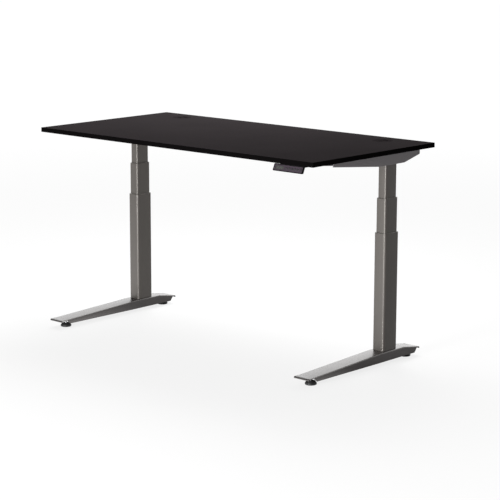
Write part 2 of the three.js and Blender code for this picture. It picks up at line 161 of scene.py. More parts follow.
def fold(shape, edges, radius, segments=5):
    """Rounds the given edges of a skin, as a press brake rounds a fold."""
    bmesh.ops.bevel(shape, geom=list(edges), offset=radius, segments=segments, profile=0.5,
                    affect="EDGES", material=-1)


def press(shape, radius):
    """Rounds every sharp fold of a skin."""
    fold(shape, [edge for edge in shape.edges if len(edge.link_faces) == 2
                 and edge.calc_face_angle() > math.radians(60)], radius)


def face_outwards(shape):
    """Makes the faces of an open skin agree, with its highest face looking up."""
    bmesh.ops.recalc_face_normals(shape, faces=shape.faces)
    highest = max(shape.faces, key=lambda face: face.calc_center_median().z)
    if highest.normal.z < 0:
        bmesh.ops.reverse_faces(shape, faces=shape.faces[:])


def along(edge, axis):
    """Whether an edge runs mostly along an axis, 0 for X, 1 for Y and 2 for Z."""
    run = edge.verts[1].co - edge.verts[0].co
    return abs(run[axis]) > 0.9 * run.length


foot_paint = powder_coat("foot_powder_coat", (0.098, 0.090, 0.088), 0.36, 0.7, 0.7, 0.26)
FOOT_SHEET = 0.003
FOOT_LIP = 0.007
FOOT_FOLD = 0.004
FOOT_TIP_HEIGHT = 0.037
FOOT_CREST = (0.080, 0.230)
FOOT_WALL_TOP = (-0.342, 0.320)
FOOT_WALL_FOOT = ((-0.319, 0.019), (0.060, 0.016), (0.302, 0.016))


def foot_skin(low, high):
    """The outside of the folded channel: top plate, two side walls and two lips."""
    shape = bmesh.new()
    front_run, rear_run = FOOT_CREST[0] - low.y, high.y - FOOT_CREST[1]
    fall = high.z - FOOT_TIP_HEIGHT

    def top(y):
        ahead = max(0, FOOT_CREST[0] - y) / front_run
        behind = max(0, y - FOOT_CREST[1]) / rear_run
        return high.z - fall * max(ahead, behind)

    stations = (low.y, FOOT_WALL_TOP[0], *FOOT_CREST, FOOT_WALL_TOP[1], high.y)
    rows = []
    for x in (low.x, high.x):
        upper = [shape.verts.new((x, y, top(y))) for y in stations]
        lower = [shape.verts.new((x, y, z)) for y, z in FOOT_WALL_FOOT]
        lips = [shape.verts.new((x, y, top(y) - FOOT_LIP)) for y in (low.y, high.y)]
        shape.faces.new(upper[1:5] + lower[::-1])
        rows.append((upper, lips))
    (left, left_lips), (right, right_lips) = rows
    for here, there in zip(zip(left, right), zip(left[1:], right[1:])):
        shape.faces.new((here[0], here[1], there[1], there[0]))
    for corner, lip in ((0, 0), (-1, 1)):
        shape.faces.new((left[corner], right[corner], right_lips[lip], left_lips[lip]))
    face_outwards(shape)
    press(shape, FOOT_FOLD)
    return shape


def turned(profile, steps=48):
    """A solid of revolution about the Z axis from its [radius, height] profile."""
    shape = bmesh.new()
    points = [shape.verts.new((radius, 0, height)) for radius, height in profile]
    for one, other in zip(points, points[1:]):
        shape.edges.new((one, other))
    bmesh.ops.spin(shape, geom=shape.verts[:] + shape.edges[:], cent=(0, 0, 0), axis=(0, 0, 1),
                   dvec=(0, 0, 0), angle=math.tau, steps=steps, use_merge=True)
    bmesh.ops.remove_doubles(shape, verts=shape.verts, dist=1e-6)
    bmesh.ops.recalc_face_normals(shape, faces=shape.faces)
    return shape


def put(shape, *steps):
    """Moves a shape by one or more matrices, the first one first."""
    for step in steps:
        bmesh.ops.transform(shape, matrix=step, verts=shape.verts)
    return shape


def at(x, y, z):
    return Matrix.Translation((x, y, z))


def turn(degrees, axis):
    return Matrix.Rotation(math.radians(degrees), 4, axis)


def gather(shapes):
    """Several separate solids as one shape."""
    whole = bmesh.new()
    for shape in shapes:
        mesh = bpy.data.meshes.new("part")
        shape.to_mesh(mesh)
        shape.free()
        whole.from_mesh(mesh)
        bpy.data.meshes.remove(mesh)
    return whole


def hexagon(across, height):
    """A nut or a hexagon head standing on z = 0, with its corners turned off."""
    shape = bmesh.new()
    radius = across / math.sqrt(3)
    bmesh.ops.create_cone(shape, cap_ends=True, segments=6, radius1=radius, radius2=radius,
                          depth=height, matrix=at(0, 0, height / 2))
    fold(shape, [edge for edge in shape.edges if not along(edge, 2)], 0.05 * across, 2)
    return shape


def screw_head(radius, height, socket):
    """A low round head on z = 0 with a recess in its middle for the key."""
    return turned([(0, 0), (radius, 0), (radius, 0.45 * height), (0.88 * radius, 0.86 * height),
                   (0.7 * radius, height), (socket, height), (0.9 * socket, 0.35 * height),
                   (0, 0.35 * height)], 20)


def combine(how, shape, *others):
    """Cuts other closed shapes out of one, joins them to it, or keeps what they share."""
    parts = []
    for solid in (shape, *others):
        mesh = bpy.data.meshes.new("carving")
        solid.to_mesh(mesh)
        solid.free()
        parts.append(bpy.data.objects.new("carving", mesh))
        bpy.context.scene.collection.objects.link(parts[-1])
    for other in parts[1:]:
        step = parts[0].modifiers.new("step", "BOOLEAN")
        step.object = other
        step.operation = how
        step.solver = "EXACT"
    graph = bpy.context.evaluated_depsgraph_get()
    left = bpy.data.meshes.new_from_object(parts[0].evaluated_get(graph))
    result = bmesh.new()
    result.from_mesh(left)
    bpy.data.meshes.remove(left)
    for part in parts:
        bpy.data.meshes.remove(part.data)
    return result


def carve(shape, *cutters):
    """A closed shape with other closed shapes cut out of it."""
    return combine("DIFFERENCE", shape, *cutters)


def disc(radius, bottom, top, sides):
    """A plain round disc or rod between two heights."""
    shape = bmesh.new()
    bmesh.ops.create_cone(shape, cap_ends=True, segments=sides, radius1=radius, radius2=radius,
                          depth=top - bottom, matrix=at(0, 0, (bottom + top) / 2))
    return shape


zinc = surface("zinc_plate", (0.46, 0.47, 0.48), 0.34, 0.95, (60, 0.12), (1500, 0.000012))
GLIDES = (("front", -0.312), ("rear", 0.286))
COLUMN = Vector((0.703, 0.149))
NUT = {"across": 0.016, "height": 0.010, "bore": 0.0042, "z": 0.0245}
BOLT_SPREAD = Vector((0.017, 0.028))
for side, sign in SIDES:
    low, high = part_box(f"foot_{side}")
    foot = add_piece(f"foot_channel_{side}", foot_skin(low, high), foot_paint, f"{side}_base",
                     "foot_paint", f"foot_{side}")
    thicken(foot, FOOT_SHEET)
    soften(foot, 0.0006)
    nuts = [put(carve(hexagon(NUT["across"], NUT["height"]),
                      disc(NUT["bore"], -0.001, NUT["height"] + 0.001, 32)),
                at(sign * COLUMN.x, y, NUT["z"])) for _, y in GLIDES]
    add_piece(f"weld_nuts_{side}", gather(nuts), zinc, f"{side}_base", "bare_steel")
    bolts = [put(screw_head(0.0065, 0.004, 0.003), turn(180, "X"),
                 at(sign * COLUMN.x + dx, COLUMN.y + dy, high.z - FOOT_SHEET))
             for dx in (-BOLT_SPREAD.x, BOLT_SPREAD.x) for dy in (-BOLT_SPREAD.y, BOLT_SPREAD.y)]
    add_piece(f"column_bolts_{side}", gather(bolts), zinc, f"{side}_base", "bare_steel")

# ---------------------------------------------------------- levelling glides
# Four moulded black pads, each on a zinc-plated threaded stud that is wound in or
# out of the nut welded inside the foot. The pad flares out to a flat rim on the floor.
glide_plastic = surface("glide_plastic", (0.012, 0.012, 0.0125), 0.5, 0, (90, 0.2), (1400, 0.00002))
PAD_SIDE = [(0.0165, 0.0002), (0.0205, 0.0), (0.0225, 0.0008), (0.0235, 0.0028), (0.0235, 0.0058),
            (0.0228, 0.0076), (0.0190, 0.0128), (0.0172, 0.0148), (0.0155, 0.0156), (0.0105, 0.0160)]
STUD = {"radius": 0.004, "bottom": 0.0063, "top": 0.030, "pitch": 0.00125, "depth": 0.0006}


def threaded(radius, bottom, top, pitch, depth):
    """A rod with a ridge for every turn of its thread."""
    turns = int((top - bottom) / pitch) - 1
    profile = [(0, bottom), (radius - depth, bottom)]
    for index in range(turns):
        z = bottom + (index + 0.5) * pitch
        profile += [(radius - depth, z), (radius, z + 0.35 * pitch), (radius, z + 0.55 * pitch)]
    return turned([*profile, (radius - depth, top - pitch / 2), (radius - depth, top), (0, top)], 24)


for side, sign in SIDES:
    for end, y in GLIDES:
        body = f"glide_{end}_{side}"
        here = at(sign * COLUMN.x, y, 0)
        pad = turned([(0, 0.0), (0.012, 0.0), (0.0125, 0.0002), *PAD_SIDE, (0.0092, 0.0160),
                      (0.0090, 0.0156), (0.0045, 0.0156), (0.0045, 0.006), (0, 0.006)])
        add_piece(f"glide_foot_{end}_{side}", put(pad, here), glide_plastic, body,
                  "glide_rubber", f"glide_pad_{end}_{side}")
        add_piece(f"glide_thread_{end}_{side}", put(threaded(**STUD), here), zinc, body,
                  "bare_steel", f"glide_stud_{end}_{side}")

# ----------------------------------------------------------------- columns
# Three steel tubes of rounded rectangular section slide inside one another, guided
# by nylon liners in the mouths. They are roll formed, welded and powder coated.
frame_paint = powder_coat("column_powder_coat", (0.116, 0.105, 0.095), 0.40, 0.5, 0.6, 0.36)
nylon = surface("natural_nylon", (0.62, 0.60, 0.55), 0.45, 0, (40, 0.06), (700, 0.00002))
TUBES = {"outer": (0.010, "base"), "middle": (0.008, "middle"), "inner": (0.006, None)}
TUBE_WALL = 0.002


def slab(low, high, corner=0, steps=8):
    """A block between two corners, with its upright edges rounded."""
    size, middle = high - low, (low + high) / 2
    shape = bmesh.new()
    bmesh.ops.create_cube(shape, size=1, matrix=at(*middle) @ Matrix.Diagonal((*size, 1)))
    if corner:
        fold(shape, [edge for edge in shape.edges if along(edge, 2)], corner, steps)
    return shape


def tube_skin(low, high, corner):
    """The outside of a tube that is open at both ends."""
    shape = slab(low, high, corner)
    ends = [face for face in shape.faces if abs(face.normal.z) > 0.9]
    bmesh.ops.delete(shape, geom=ends, context="FACES_ONLY")
    return shape


for side, _ in SIDES:
    for stage, (corner, body) in TUBES.items():
        low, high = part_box(f"{stage}_tube_{side}")
        rides = f"{side}_{body}" if body else "top_frame"
        tube = add_piece(f"{stage}_column_{side}", tube_skin(low, high, corner), frame_paint,
                         rides, "frame_paint", f"{stage}_tube_{side}")
        thicken(tube, TUBE_WALL)
        soften(tube, 0.0005)
    for stage, body, corner in (("outer", "base", 0.0082), ("middle", "middle", 0.0062)):
        low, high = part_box(f"{stage}_guide_{side}")
        liner = add_piece(f"{stage}_liner_{side}", tube_skin(low, high, corner), nylon,
                          f"{side}_{body}", "guide_nylon", f"{stage}_guide_{side}")
        thicken(liner, 0.0020)
        soften(liner, 0.0003)

# ------------------------------------------------------------ lifting spindles
# Inside each column a hollow screw runs in a nut on a post, and a solid screw from
# the gearbox runs in the hollow one, so each motor turn lifts both upper tubes.
POST = {"bore": 0.013, "radius": 0.016}
HOLLOW = {"bore": 0.0085, "core": 0.011, "crest": 0.012}
PITCH = 0.010
steel = surface("turned_steel", (0.42, 0.42, 0.43), 0.28, 1.0, (80, 0.1), (1200, 0.00001))
for side, sign in SIDES:
    here = at(sign * COLUMN.x, COLUMN.y, 0)
    low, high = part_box(f"base_block_{side}")
    block = add_piece(f"base_plug_{side}", slab(low, high, 0.0078), zinc, f"{side}_base",
                      "bare_steel", f"base_block_{side}")
    soften(block, 0.0008)
    low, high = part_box(f"nut_post_{side}")
    bore, radius = POST["bore"], POST["radius"]
    post = turned([(bore, low.z), (radius, low.z), (radius, high.z - 0.001), (radius - 0.0005, high.z),
                   (bore, high.z), (bore, low.z)], 40)
    add_piece(f"nut_column_{side}", put(post, here), zinc, f"{side}_base", "bare_steel",
              f"nut_post_{side}")
    low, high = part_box(f"hollow_screw_{side}")
    bore, core, crest = HOLLOW.values()
    ridges = [(bore, low.z), (core, low.z)]
    for index in range(int((high.z - low.z) / PITCH)):
        z = low.z + (index + 0.3) * PITCH
        ridges += [(core, z), (crest, z + 0.0015), (crest, z + 0.0045), (core, z + 0.006)]
    screw = turned([*ridges, (core, high.z), (bore, high.z), (bore, low.z)], 24)
    add_piece(f"hollow_spindle_{side}", put(screw, here), steel, f"hollow_screw_{side}",
              "bare_steel", f"hollow_screw_{side}")
    low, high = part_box(f"drive_screw_{side}")
    add_piece(f"drive_spindle_{side}", put(threaded(0.007, low.z, high.z, PITCH, 0.001), here),
              steel, f"drive_screw_{side}", "bare_steel", f"drive_screw_{side}")

# ------------------------------------------------- motors, gearboxes and heads
# A steel plate closes the top of each column and carries a moulded gearbox. The
# motor, a drawn steel can with a pressed end cap, lies forward of it.
black_plastic = surface("moulded_plastic", (0.016, 0.016, 0.017), 0.5, 0, (60, 0.15), (1100, 0.00004))
motor_can = surface("motor_can_zinc", (0.36, 0.36, 0.37), 0.38, 0.9, (35, 0.1), (1200, 0.00001))
GEAR_RIB = {"count": 6, "first": 0.009, "pitch": 0.0104, "width": 0.002, "proud": 0.0012}
for side, sign in SIDES:
    add_piece(f"head_cap_{side}", slab(*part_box(f"head_plate_{side}"), 0.003), frame_paint,
              "top_frame", "frame_paint", f"head_plate_{side}")
    low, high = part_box(f"gearbox_{side}")
    ribs = [slab(low, high, 0.004)]
    for index in range(GEAR_RIB["count"]):
        y = low.y + GEAR_RIB["first"] + index * GEAR_RIB["pitch"]
        ribs.append(slab(Vector((low.x - GEAR_RIB["proud"], y, low.z + 0.003)),
                         Vector((high.x + GEAR_RIB["proud"], y + GEAR_RIB["width"], high.z - 0.002))))
    box = add_piece(f"gear_housing_{side}", gather(ribs), black_plastic, "top_frame",
                    "black_plastic", f"gearbox_{side}")
    soften(box, 0.0006)
    low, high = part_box(f"motor_{side}")
    length, radius = high.y - low.y, (high.x - low.x) / 2
    waist, neck = radius - 0.0006, radius - 0.0008
    can = turned([(0, 0.0), (0.0065, 0.0), (0.0065, 0.0012), (radius - 0.004, 0.0012),
                  (waist, 0.002), (radius, 0.0045), (radius, 0.010), (waist, 0.0104),
                  (waist, 0.0116), (radius, 0.012), (radius, length - 0.014),
                  (neck, length - 0.0135), (neck, length), (0, length)], 64)
    put(can, turn(-90, "X"), at(sign * COLUMN.x, low.y, (low.z + high.z) / 2))
    add_piece(f"motor_body_{side}", can, motor_can, "top_frame", "motor_can", f"motor_{side}")

# ------------------------------------------------------------ side brackets
# An upside-down channel of 3 mm steel runs front to back over each column. Its walls
# are deepest at the column and turned in along the bottom. Screws hold the desktop.
bracket_paint = powder_coat("bracket_powder_coat", (0.215, 0.199, 0.207), 0.40, 0.4, 0.4, 0.3, 0.06)
BRACKET_SHEET = 0.003
BRACKET_LINE = ((0.019, None), (0.048, 0.060), (0.048, 0.222), (0.024, None))
BRACKET_HEM = 0.0045
BRACKET_FOLD = 0.0035
SCREW_SPREAD = 0.014
SCREW_ROWS = (-0.205, -0.090, 0.235, 0.300)


def bracket_skin(low, high, underside):
    """The outside of the folded channel: top, two walls and an inward hem on each."""
    shape = bmesh.new()
    ends = (low.y, high.y)
    line = [(y if y is not None else ends[index > 0], underside - drop)
            for index, (drop, y) in enumerate(BRACKET_LINE)]
    tops = []
    for x, inwards in ((low.x, BRACKET_HEM), (high.x, -BRACKET_HEM)):
        upper = [shape.verts.new((x, y, high.z)) for y in ends]
        lower = [shape.verts.new((x, y, z)) for y, z in line]
        hem = [shape.verts.new((x + inwards, y, z)) for y, z in line]
        shape.faces.new([*upper, *lower[::-1]])
        for one, other in zip(zip(lower, hem), zip(lower[1:], hem[1:])):
            shape.faces.new((one[0], other[0], other[1], one[1]))
        tops.append(upper)
    shape.faces.new((tops[0][0], tops[1][0], tops[1][1], tops[0][1]))
    face_outwards(shape)
    press(shape, BRACKET_FOLD)
    return shape


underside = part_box("desktop")[0][2]
black_zinc = surface("black_zinc_screws", (0.03, 0.03, 0.032), 0.35, 0.8, (50, 0.1), (1400, 0.00001))
for side, sign in SIDES:
    low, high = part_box(f"side_bracket_{side}")
    bracket = add_piece(f"desktop_bracket_{side}", bracket_skin(low, high, underside), bracket_paint,
                        "top_frame", "frame_paint", f"side_bracket_{side}")
    thicken(bracket, BRACKET_SHEET)
    soften(bracket, 0.0006)
    heads = [put(screw_head(0.0055, 0.0032, 0.0022), turn(180, "X"),
                 at(sign * COLUMN.x + dx, y, high.z - BRACKET_SHEET))
             for dx in (-SCREW_SPREAD, SCREW_SPREAD) for y in SCREW_ROWS]
    add_piece(f"desktop_screws_{side}", gather(heads), black_zinc, "top_frame", "bare_steel")

# -------------------------------------------------------------- cross rails
# Two steel channels join the side brackets, open towards each other so that cables
# can lie in them. Two bolts hold each end.
RAIL_WALL = 0.002
RAIL_FOLD = 0.0032
RAIL_BOLTS = (0.018, 0.048)


def rail_skin(low, high, opening):
    """The outside of a channel along X that opens towards +Y or -Y."""
    shape = bmesh.new()
    web, rim = (low.y, high.y) if opening > 0 else (high.y, low.y)
    profile = [(rim, low.z), (web, low.z), (web, high.z), (rim, high.z)]
    starts = [shape.verts.new((low.x, y, z)) for y, z in profile]
    path = [shape.edges.new(pair) for pair in zip(starts, starts[1:])]
    moved = bmesh.ops.extrude_edge_only(shape, edges=path)["geom"]
    ends = [item for item in moved if isinstance(item, bmesh.types.BMVert)]
    bmesh.ops.translate(shape, vec=(high.x - low.x, 0, 0), verts=ends)
    face_outwards(shape)
    press(shape, RAIL_FOLD)
    return shape


for end, opening in (("front", 1), ("rear", -1)):
    low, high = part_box(f"rail_{end}")
    rail = add_piece(f"cross_rail_{end}", rail_skin(low, high, opening), frame_paint, "top_frame",
                     "frame_paint", f"rail_{end}")
    thicken(rail, RAIL_WALL)
    soften(rail, 0.0004)
    web, middle = (low.y if opening > 0 else high.y), (low.z + high.z) / 2
    places = [low.x + reach for reach in RAIL_BOLTS] + [high.x - reach for reach in RAIL_BOLTS[::-1]]
    bolts = [put(hexagon(0.010, 0.004), turn(90 * opening, "X"), at(x, web, middle)) for x in places]
    add_piece(f"rail_bolts_{end}", gather(bolts), zinc, "top_frame", "bare_steel")

# ------------------------------------------------------------------ desktop
# A 19 mm board faced with black laminate, sawn square and bored for the two cable
# grommets, with a black plastic band glued round its edges.
laminate = add_flecks(surface("black_laminate", (0.0262, 0.0229, 0.0240), 0.62, 0, (5, 0.10),
                              (1500, 0.00006), Specular_IOR_Level=0.0), 1100, 0.22)
edge_plastic = surface("black_edge_band", (0.0036, 0.0032, 0.0033), 0.55, 0, (30, 0.1),
                       (900, 0.00002), Specular_IOR_Level=0.0)
CLEARANCE = 0.0003
OVERSHOOT = Vector((0, 0, 0.01))
low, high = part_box("desktop")
sleeves = {side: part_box(f"grommet_liner_{side}") for side, _ in SIDES}
holes = []
for start, end in sleeves.values():
    radius = (end.x - start.x) / 2 + CLEARANCE
    hole = disc(radius, low.z - OVERSHOOT.z, high.z + OVERSHOOT.z, 96)
    holes.append(put(hole, at((start.x + end.x) / 2, (start.y + end.y) / 2, 0)))
board = add_piece("desktop_board", carve(slab(low, high), *holes), laminate, "top_frame",
                  "desktop_laminate", "desktop")
soften(board, 0.0003)
low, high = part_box("edge_band")
BAND = Vector((0.0017, 0.0017, 0))
window = slab(low + BAND - OVERSHOOT, high - BAND + OVERSHOOT, 0.0005, 3)
band = add_piece("edge_banding", carve(slab(low, high, 0.0016, 4), window), edge_plastic,
                 "top_frame", "edge_band", "edge_band")
soften(band, 0.0007, 3)

# ----------------------------------------------------------- cable grommets
# Each bore is lined with a moulded black sleeve that lies flush with the desktop, and
# closed by a loose lid with a notch at the back and a shallow grip for a finger.
grommet_plastic = surface("grommet_plastic", (0.0200, 0.0172, 0.0180), 0.6, 0, (60, 0.15),
                          (1100, 0.00002), Specular_IOR_Level=0.0)
SLEEVE = {"bore": 0.027, "seat": 0.0293, "step": 0.0035, "wall": 0.0022, "plate": 0.005}
CHAMFER = 0.0004
LID = {"radius": 0.0288, "bottom": -0.0032, "top": -0.0002}
NOTCH = {"half": 0.012, "inner": 0.0148, "outer": 0.04}
GRIP = {"radius": 0.0085, "y": -0.014, "sink": 0.0016}
for side, (start, end) in sleeves.items():
    rim, top = (end.x - start.x) / 2, end.z
    here = at((start.x + end.x) / 2, (start.y + end.y) / 2, 0)
    bore, seat, step, wall, plate = SLEEVE.values()
    shelf = top - plate - wall
    liner = turned([(bore, start.z), (bore + wall, start.z), (bore + wall, shelf), (rim - wall, shelf),
                    (rim - wall, start.z), (rim, start.z), (rim, top - CHAMFER), (rim - CHAMFER, top),
                    (seat + CHAMFER, top), (seat, top - CHAMFER), (seat, top - step),
                    (bore, top - step), (bore, start.z)], 72)
    add_piece(f"grommet_sleeve_{side}", put(liner, here), grommet_plastic, "top_frame",
              "black_plastic", f"grommet_liner_{side}")
    reach, half = (bore + rim) / 2, (rim - bore) / 2 - wall / 2
    ribs = [put(slab(Vector((reach - half, -0.0008, start.z + 0.001)),
                     Vector((reach + half, 0.0008, shelf))), turn(30 * index, "Z"), here)
            for index in range(12)]
    add_piece(f"grommet_ribs_{side}", gather(ribs), grommet_plastic, "top_frame", "black_plastic")
    cover = disc(LID["radius"], top + LID["bottom"], top + LID["top"], 72)
    notch = slab(Vector((-NOTCH["half"], NOTCH["inner"], top - 0.01)),
                 Vector((NOTCH["half"], NOTCH["outer"], top + 0.01)), 0.003, 5)
    grip = put(disc(GRIP["radius"], top - GRIP["sink"], top + 0.01, 40), at(0, GRIP["y"], 0))
    lid = add_piece(f"grommet_cover_{side}", put(carve(cover, notch, grip), here), grommet_plastic,
                    f"grommet_lid_{side}", "black_plastic", f"grommet_lid_{side}")
    soften(lid, 0.0004)

# -------------------------------------------------------------- control box
# A moulded tray under a flat lid holds the supply and the motor driver. The lid's ears
# are screwed up into the desktop, and slots in the floor of the tray let warm air out.
low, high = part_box("control_box")
TRAY_WALL = Vector((0.0024, 0.0024, 0.0024))
SLOT = {"count": 12, "first": 0.012, "pitch": 0.0075, "width": 0.003, "front": -0.045, "back": 0.005}
inlet_low, inlet_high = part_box("power_inlet")
INLET_RIM = 0.0025
inside = slab(low + TRAY_WALL, high - TRAY_WALL + 2 * OVERSHOOT, 0.004, 5)
fit = INLET_RIM - CLEARANCE
socket_hole = slab(Vector((inlet_low.x + fit, high.y - 0.01, inlet_low.z + fit)),
                   Vector((inlet_high.x - fit, high.y + 0.01, inlet_high.z - fit)))
slots = []
for index in range(SLOT["count"]):
    x = SLOT["first"] + index * SLOT["pitch"]
    slots.append(slab(Vector((x, SLOT["front"], low.z - 0.01)),
                      Vector((x + SLOT["width"], SLOT["back"], low.z + 0.01)), 0.0014, 4))
tray = add_piece("control_tray", carve(slab(low, high, 0.006, 6), inside, socket_hole, *slots),
                 black_plastic, "top_frame", "black_plastic", "control_box")
soften(tray, 0.0006)
low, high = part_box("control_box_lid")
LID_EAR = Vector((0.0075, 0.018))
cover = add_piece("control_cover", slab(low, high, 0.008, 6), black_plastic, "top_frame",
                  "black_plastic", "control_box_lid")
soften(cover, 0.0005)
screws = [put(screw_head(0.0045, 0.0026, 0.0018), turn(180, "X"), at(x, y, low.z))
          for x in (low.x + LID_EAR.x, high.x - LID_EAR.x)
          for y in (low.y + LID_EAR.y, high.y - LID_EAR.y)]
add_piece("control_screws", gather(screws), black_zinc, "top_frame", "bare_steel")

# ------------------------------------------------------------ circuit board
# A green fibreglass board inside the tray, with the supply's capacitors and heat sink, two chips,
# the relays that switch the motors, and the sockets for the leads.
board_green = surface("green_solder_mask", (0.012, 0.085, 0.032), 0.3, 0, (220, 0.3), (500, 0.00004),
                      Coat_Weight=0.4, Coat_Roughness=0.15)
aluminium = surface("aluminium_cans", (0.55, 0.56, 0.57), 0.35, 1.0, (70, 0.08), (1300, 0.00001))
low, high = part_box("circuit_board")
add_piece("control_board", slab(low, high, 0.002, 3), board_green, "top_frame", "board",
          "circuit_board")


def on_board(x, y, width, depth, height, corner=0.0006):
    """A block standing on the board, x and y from its front left corner."""
    start = Vector((low.x + x, low.y + y, high.z))
    return slab(start, start + Vector((width, depth, height)), corner, 3)


relays = [on_board(0.118 + index * 0.021, 0.034, 0.015, 0.019, 0.015) for index in range(4)]
chips = [on_board(0.100, 0.006, 0.012, 0.012, 0.002), on_board(0.060, 0.010, 0.008, 0.010, 0.002)]
sockets = [on_board(x, y, 0.016, 0.010, 0.011)
           for x, y in ((0.002, 0.030), (0.212, 0.030), (0.195, 0.001))]
add_piece("relays_and_sockets", gather(relays + chips + sockets), black_plastic, "top_frame",
          "black_plastic")
CAN = ((0, 0), (0.006, 0), (0.006, 0.0015), (0.0056, 0.002), (0.006, 0.0025), (0.006, 0.0155),
       (0.0054, 0.016), (0, 0.016))
cans = [put(turned(CAN, 28), at(low.x + x, low.y + y, high.z))
        for x, y in ((0.030, 0.010), (0.045, 0.010), (0.030, 0.026))]
cans += [on_board(0.056 + index * 0.004, 0.030, 0.0012, 0.026, 0.016, 0) for index in range(7)]
cans.append(on_board(0.056, 0.030, 0.0252, 0.026, 0.002, 0))
add_piece("capacitors_and_heat_sink", gather(cans), aluminium, "top_frame", "motor_can")

# -------------------------------------------------------------- power inlet
# A three-pin mains socket moulded in black, flush in the back wall of the tray. The
# pins are brass blades with a bright nickel plate, the middle one set a little lower.
MOUTH = {"inset": 0.0045, "depth": 0.0160}
inset = MOUTH["inset"]
wide = Vector((inlet_low.x, inlet_high.y - 0.0023, inlet_low.z))
cavity = (Vector((inlet_low.x + inset, inlet_high.y - MOUTH["depth"], inlet_low.z + inset)),
          Vector((inlet_high.x - inset, inlet_high.y + 0.0100, inlet_high.z - inset)))
rim = carve(slab(wide, inlet_high), slab(*cavity))
barrel = carve(slab(Vector((inlet_low.x + INLET_RIM, inlet_low.y, inlet_low.z + INLET_RIM)),
                    Vector((inlet_high.x - INLET_RIM, wide.y, inlet_high.z - INLET_RIM))), slab(*cavity))
socket = add_piece("mains_socket", gather([rim, barrel]), black_plastic, "top_frame", "black_plastic",
                   "power_inlet")
soften(socket, 0.0005)
centre = (inlet_low + inlet_high) / 2
blades = [slab(Vector((centre.x + dx - 0.001, cavity[0].y - 0.0005, centre.z + dz - 0.002)),
               Vector((centre.x + dx + 0.001, inlet_high.y - 0.0025, centre.z + dz + 0.002)))
          for dx, dz in ((-0.007, 0.0015), (0, -0.002), (0.007, 0.0015))]
pins = add_piece("mains_pins", gather(blades), zinc, "top_frame", "bare_steel")
soften(pins, 0.0004)

# --------------------------------------------------------------------- leads
# A lead runs from each motor and from the handset to the control box. Moulded hooks
# glued under the desktop carry them, and each end has a short tapered boot.
lead_jacket = surface("lead_jacket", (0.014, 0.014, 0.0145), 0.48, 0, (45, 0.12), (1600, 0.00002))
MOTOR_LEAD = ((0.703, 0.0081, 0.837), (0.703, 0.0021, 0.837), (0.701, -0.0049, 0.837),
              (0.693, -0.013, 0.837), (0.681, -0.014, 0.837), (0.640, -0.014, 0.837),
              (0.520, -0.014, 0.834), (0.400, -0.014, 0.837), (0.280, -0.014, 0.834),
              (0.170, -0.014, 0.837), (0.1303, -0.014, 0.837))
HANDSET_LEAD = ((0.605, -0.3097, 0.851), (0.605, -0.2947, 0.851), (0.597, -0.2747, 0.853),
                (0.565, -0.2547, 0.854), (0.480, -0.230, 0.852), (0.360, -0.195, 0.854),
                (0.240, -0.160, 0.852), (0.150, -0.130, 0.854), (0.104, -0.108, 0.853),
                (0.090, -0.082, 0.851), (0.090, -0.0603, 0.849))


def from_curve(curve, merge):
    """The mesh of a curve or a printed digit, with its doubles merged."""
    carrier = bpy.data.objects.new("carrier", curve)
    mesh = bpy.data.meshes.new_from_object(carrier)
    shape = bmesh.new()
    shape.from_mesh(mesh)
    bmesh.ops.remove_doubles(shape, verts=shape.verts, dist=merge)
    bpy.data.objects.remove(carrier)
    bpy.data.curves.remove(curve)
    bpy.data.meshes.remove(mesh)
    return shape


def lead(points, radius):
    """A round cable along a smooth curve through some points, closed at both ends."""
    curve = bpy.data.curves.new("lead", "CURVE")
    curve.dimensions = "3D"
    curve.bevel_depth = radius
    curve.bevel_resolution = 4
    curve.resolution_u = 10
    curve.use_fill_caps = True
    spline = curve.splines.new("BEZIER")
    spline.bezier_points.add(len(points) - 1)
    for knot, place in zip(spline.bezier_points, points):
        knot.co = place
        knot.handle_left_type = knot.handle_right_type = "AUTO"
    shape = from_curve(curve, 1e-6)
    bmesh.ops.recalc_face_normals(shape, faces=shape.faces)
    return shape


def boot(radius, length):
    """A tapered, ribbed sleeve along +Z that keeps a lead from bending where it enters."""
    profile = [(radius, 0), (2.1 * radius, 0), (2.1 * radius, 0.1 * length)]
    for index in range(5):
        z, out = (0.16 + 0.17 * index) * length, (1.95 - 0.15 * index) * radius
        profile += [(out - 0.3 * radius, z), (out - 0.3 * radius, z + 0.06 * length),
                    (out, z + 0.07 * length), (out, z + 0.15 * length)]
    return turned([*profile, (radius, length), (radius, 0)], 32)


def hook(x, y, z, radius, heading):
    """A glued pad under the desktop with a strap down to a ring that the lead lies in."""
    half, outer, drop = 0.004, radius + 0.0012, underside - z
    ring = turned([(radius, -half), (outer, -half), (outer, half), (radius, half),
                   (radius, -half)], 24)
    strap = slab(Vector((-0.0008, -half, radius + 0.0008)), Vector((0.0008, half, drop - 0.0012)))
    pad = slab(Vector((-0.008, -0.007, drop - 0.0016)), Vector((0.008, 0.007, drop - 0.0001)),
               0.002, 4)
    shape = gather([put(ring, turn(90, "X")), strap, pad])
    return put(shape, turn(heading, "Z"), at(x, y, z))


